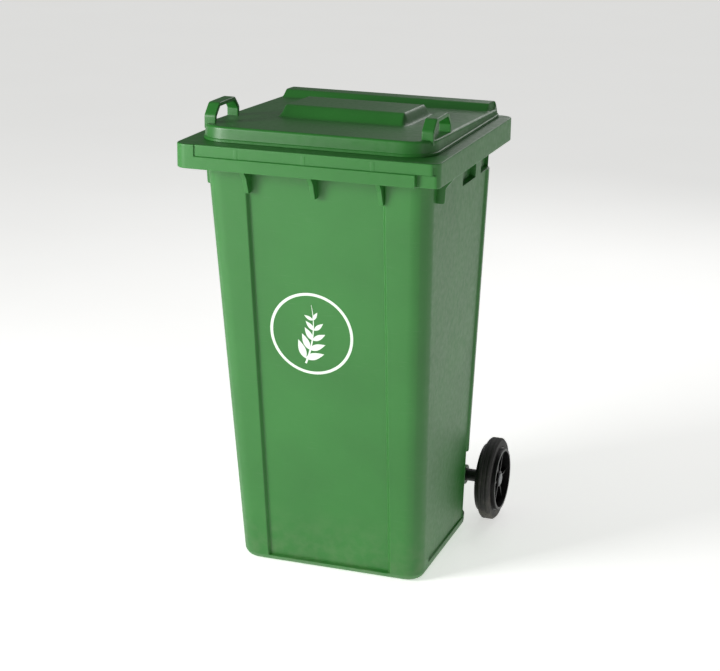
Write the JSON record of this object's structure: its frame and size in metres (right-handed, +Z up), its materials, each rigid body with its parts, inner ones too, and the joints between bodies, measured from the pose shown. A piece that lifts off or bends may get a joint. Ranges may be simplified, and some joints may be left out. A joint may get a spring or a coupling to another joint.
{
  "type": "wheeled litter bin",
  "caption": "Tapered green plastic litter bin with a lifting collar, hinged lid with carrying loops, rear grips and rubber-tyred wheels on a steel axle.",
  "frame": {"origin": "middle of the overall box on the ground, under the tub", "axes": "+Z up, -Y towards the front of the bin, +X to the right of someone looking along +Y at its front"},
  "size_m": [0.58, 0.735, 1.077],
  "materials": {
    "green_hdpe": "satin",
    "green_hdpe_lid": "satin",
    "galvanised_steel": "satin",
    "hinge_plastic": "satin",
    "black_polypropylene": "satin",
    "tyre_rubber": "matt",
    "sleeve_plastic": "satin",
    "washer_steel": "satin",
    "cap_plastic": "satin",
    "lock_pin_steel": "satin",
    "spring_steel": "satin"
  },
  "bodies": {
    "bin": {"bin_body": "green_hdpe", "axle": "galvanised_steel", "hinge_pin_right": "hinge_plastic", "spacer_sleeve_right": "sleeve_plastic", "thrust_washer_right": "washer_steel", "hinge_pin_left": "hinge_plastic", "spacer_sleeve_left": "sleeve_plastic", "thrust_washer_left": "washer_steel"},
    "lid": {"lid": "green_hdpe_lid"},
    "wheel_right": {"wheel_hub_right": "black_polypropylene", "tyre_right": "tyre_rubber", "hub_cap_right": "cap_plastic", "lock_spring_right": "spring_steel"},
    "wheel_lock_right": {"lock_pin_right": "lock_pin_steel"},
    "wheel_left": {"wheel_hub_left": "black_polypropylene", "tyre_left": "tyre_rubber", "hub_cap_left": "cap_plastic", "lock_spring_left": "spring_steel"},
    "wheel_lock_left": {"lock_pin_left": "lock_pin_steel"}
  },
  "joints": [
    {"name": "lid_hinge", "type": "hinge", "parent": "bin", "child": "lid", "pos_m": [0, 0.2885, 1.006], "axis": [-1, 0, 0], "range_deg": [0, 270]},
    {"name": "wheel_right_spin", "type": "hinge", "parent": "bin", "child": "wheel_right", "pos_m": [0.263, 0.2675, 0.1], "axis": [1, 0, 0], "continuous": true},
    {"name": "wheel_right_lock", "type": "slide", "parent": "wheel_right", "child": "wheel_lock_right", "axis": [0, 0, 1], "range_m": [0, 0.003], "stiffness_N_per_m": 600, "springref_m": -0.001, "deforming": ["lock_spring_right"]},
    {"name": "wheel_left_spin", "type": "hinge", "parent": "bin", "child": "wheel_left", "pos_m": [-0.263, 0.2675, 0.1], "axis": [1, 0, 0], "continuous": true},
    {"name": "wheel_left_lock", "type": "slide", "parent": "wheel_left", "child": "wheel_lock_left", "axis": [0, 0, 1], "range_m": [0, 0.003], "stiffness_N_per_m": 600, "springref_m": -0.001, "deforming": ["lock_spring_left"]}
  ]
}
